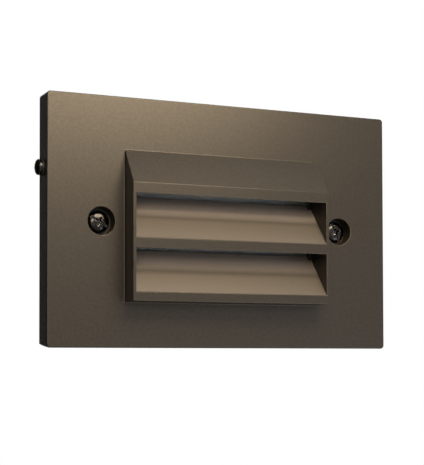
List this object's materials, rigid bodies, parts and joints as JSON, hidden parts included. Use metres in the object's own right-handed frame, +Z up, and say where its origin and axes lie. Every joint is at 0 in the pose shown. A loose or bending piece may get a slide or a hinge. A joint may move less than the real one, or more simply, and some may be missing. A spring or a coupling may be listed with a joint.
{
  "type": "step light",
  "caption": "Louvred step light for a single-gang wall box: cast faceplate with a hooded louvre, LED light engine and driver behind it.",
  "frame": {"origin": "middle of the wall plane, level with the two face screws, on the back of the faceplate's rim", "axes": "+X to the right as seen from the front, +Z up, +Y into the wall"},
  "size_m": [0.1203, 0.0529, 0.078],
  "materials": {
    "bronze_powder_coat": "textured architectural bronze powder coat on die-cast aluminium",
    "closed_cell_foam": "black closed-cell EPDM foam",
    "cast_aluminium": "as-cast, blasted aluminium",
    "black_nylon": "moulded black nylon",
    "opal_polycarbonate": "opal diffusing polycarbonate",
    "silicone_rubber": "moulded black silicone rubber",
    "white_polyester": "white reflective polyester sheet",
    "white_solder_mask": "white solder mask on aluminium-core board",
    "led_phosphor": "yellow phosphor in a white package",
    "white_nylon": "natural white nylon",
    "zinc_steel": "bright zinc plated steel",
    "thermal_silicone": "grey thermal silicone",
    "red_insulation": "red PVC insulation",
    "black_insulation": "black PVC insulation",
    "green_laminate": "green solder mask on glass laminate",
    "turned_brass": "turned brass",
    "ferrite": "sintered ferrite",
    "yellow_tape": "yellow polyester winding tape",
    "capacitor_sleeve": "dark blue shrink sleeve on aluminium can",
    "yellow_epoxy": "yellow boxed film capacitor",
    "black_epoxy": "moulded black epoxy",
    "fuse_ceramic": "glazed ceramic tube",
    "blue_epoxy": "dipped blue epoxy",
    "green_polyamide": "moulded green polyamide",
    "fish_paper": "grey fish paper",
    "green_zinc_steel": "green passivated zinc on steel",
    "black_nickel": "bright black nickel plate on steel"
  },
  "bodies": {
    "fixture": {"faceplate": "bronze_powder_coat", "wall_gasket": "closed_cell_foam", "engine_housing": "cast_aluminium", "lens_retainer": "black_nylon", "lens": "opal_polycarbonate", "lens_gasket": "silicone_rubber", "reflector_sheet": "white_polyester", "led_board": "white_solder_mask", "led_chips": "led_phosphor", "led_connector": "white_nylon", "led_board_screws": "zinc_steel", "thermal_pad": "thermal_silicone", "led_lead_red": "red_insulation", "led_lead_black": "black_insulation", "lead_grommet": "silicone_rubber", "driver_board": "green_laminate", "driver_standoffs": "turned_brass", "driver_screws": "zinc_steel", "transformer_core": "ferrite", "transformer_winding": "yellow_tape", "bulk_capacitor": "capacitor_sleeve", "output_capacitor": "capacitor_sleeve", "film_capacitor": "yellow_epoxy", "bridge_rectifier": "black_epoxy", "driver_chip": "black_epoxy", "choke": "ferrite", "output_diode": "black_epoxy", "fuse": "fuse_ceramic", "varistor": "blue_epoxy", "terminal_block": "green_polyamide", "terminal_screws": "zinc_steel", "insulating_sheet": "fish_paper", "rear_gasket": "silicone_rubber", "rear_cover": "cast_aluminium", "cover_screws": "zinc_steel", "supply_grommet": "silicone_rubber", "ground_screw": "green_zinc_steel"},
    "left_washer": {"face_screw_washer_left": "black_nylon"},
    "left_screw": {"face_screw_left": "black_nickel"},
    "right_washer": {"face_screw_washer_right": "black_nylon"},
    "right_screw": {"face_screw_right": "black_nickel"},
    "rim_washer": {"side_screw_washer": "black_nylon"},
    "rim_screw": {"side_screw": "black_nickel"}
  },
  "joints": [
    {"name": "face_screw_left_travel", "type": "slide", "parent": "fixture", "child": "left_washer", "axis": [0, -1, 0], "range_m": [0, 0.02223]},
    {"name": "face_screw_left_turn", "type": "hinge", "parent": "left_washer", "child": "left_screw", "pos_m": [-0.04167, 0, 0], "axis": [0, -1, 0], "range_deg": [0, 10080]},
    {"name": "face_screw_right_travel", "type": "slide", "parent": "fixture", "child": "right_washer", "axis": [0, -1, 0], "range_m": [0, 0.02223]},
    {"name": "face_screw_right_turn", "type": "hinge", "parent": "right_washer", "child": "right_screw", "pos_m": [0.04167, 0, 0], "axis": [0, -1, 0], "range_deg": [0, 10080]},
    {"name": "side_screw_travel", "type": "slide", "parent": "fixture", "child": "rim_washer", "axis": [-1, 0, 0], "range_m": [0, 0.0054]},
    {"name": "side_screw_turn", "type": "hinge", "parent": "rim_washer", "child": "rim_screw", "pos_m": [-0.059, -0.0029, 0.0162], "axis": [-1, 0, 0], "range_deg": [0, 4320]}
  ],
  "couplings": [
    {"joint": "face_screw_left_turn", "follows": "face_screw_left_travel", "rad_per_m": 7915.8},
    {"joint": "face_screw_right_turn", "follows": "face_screw_right_travel", "rad_per_m": 7915.8},
    {"joint": "side_screw_turn", "follows": "side_screw_travel", "rad_per_m": 13963}
  ]
}
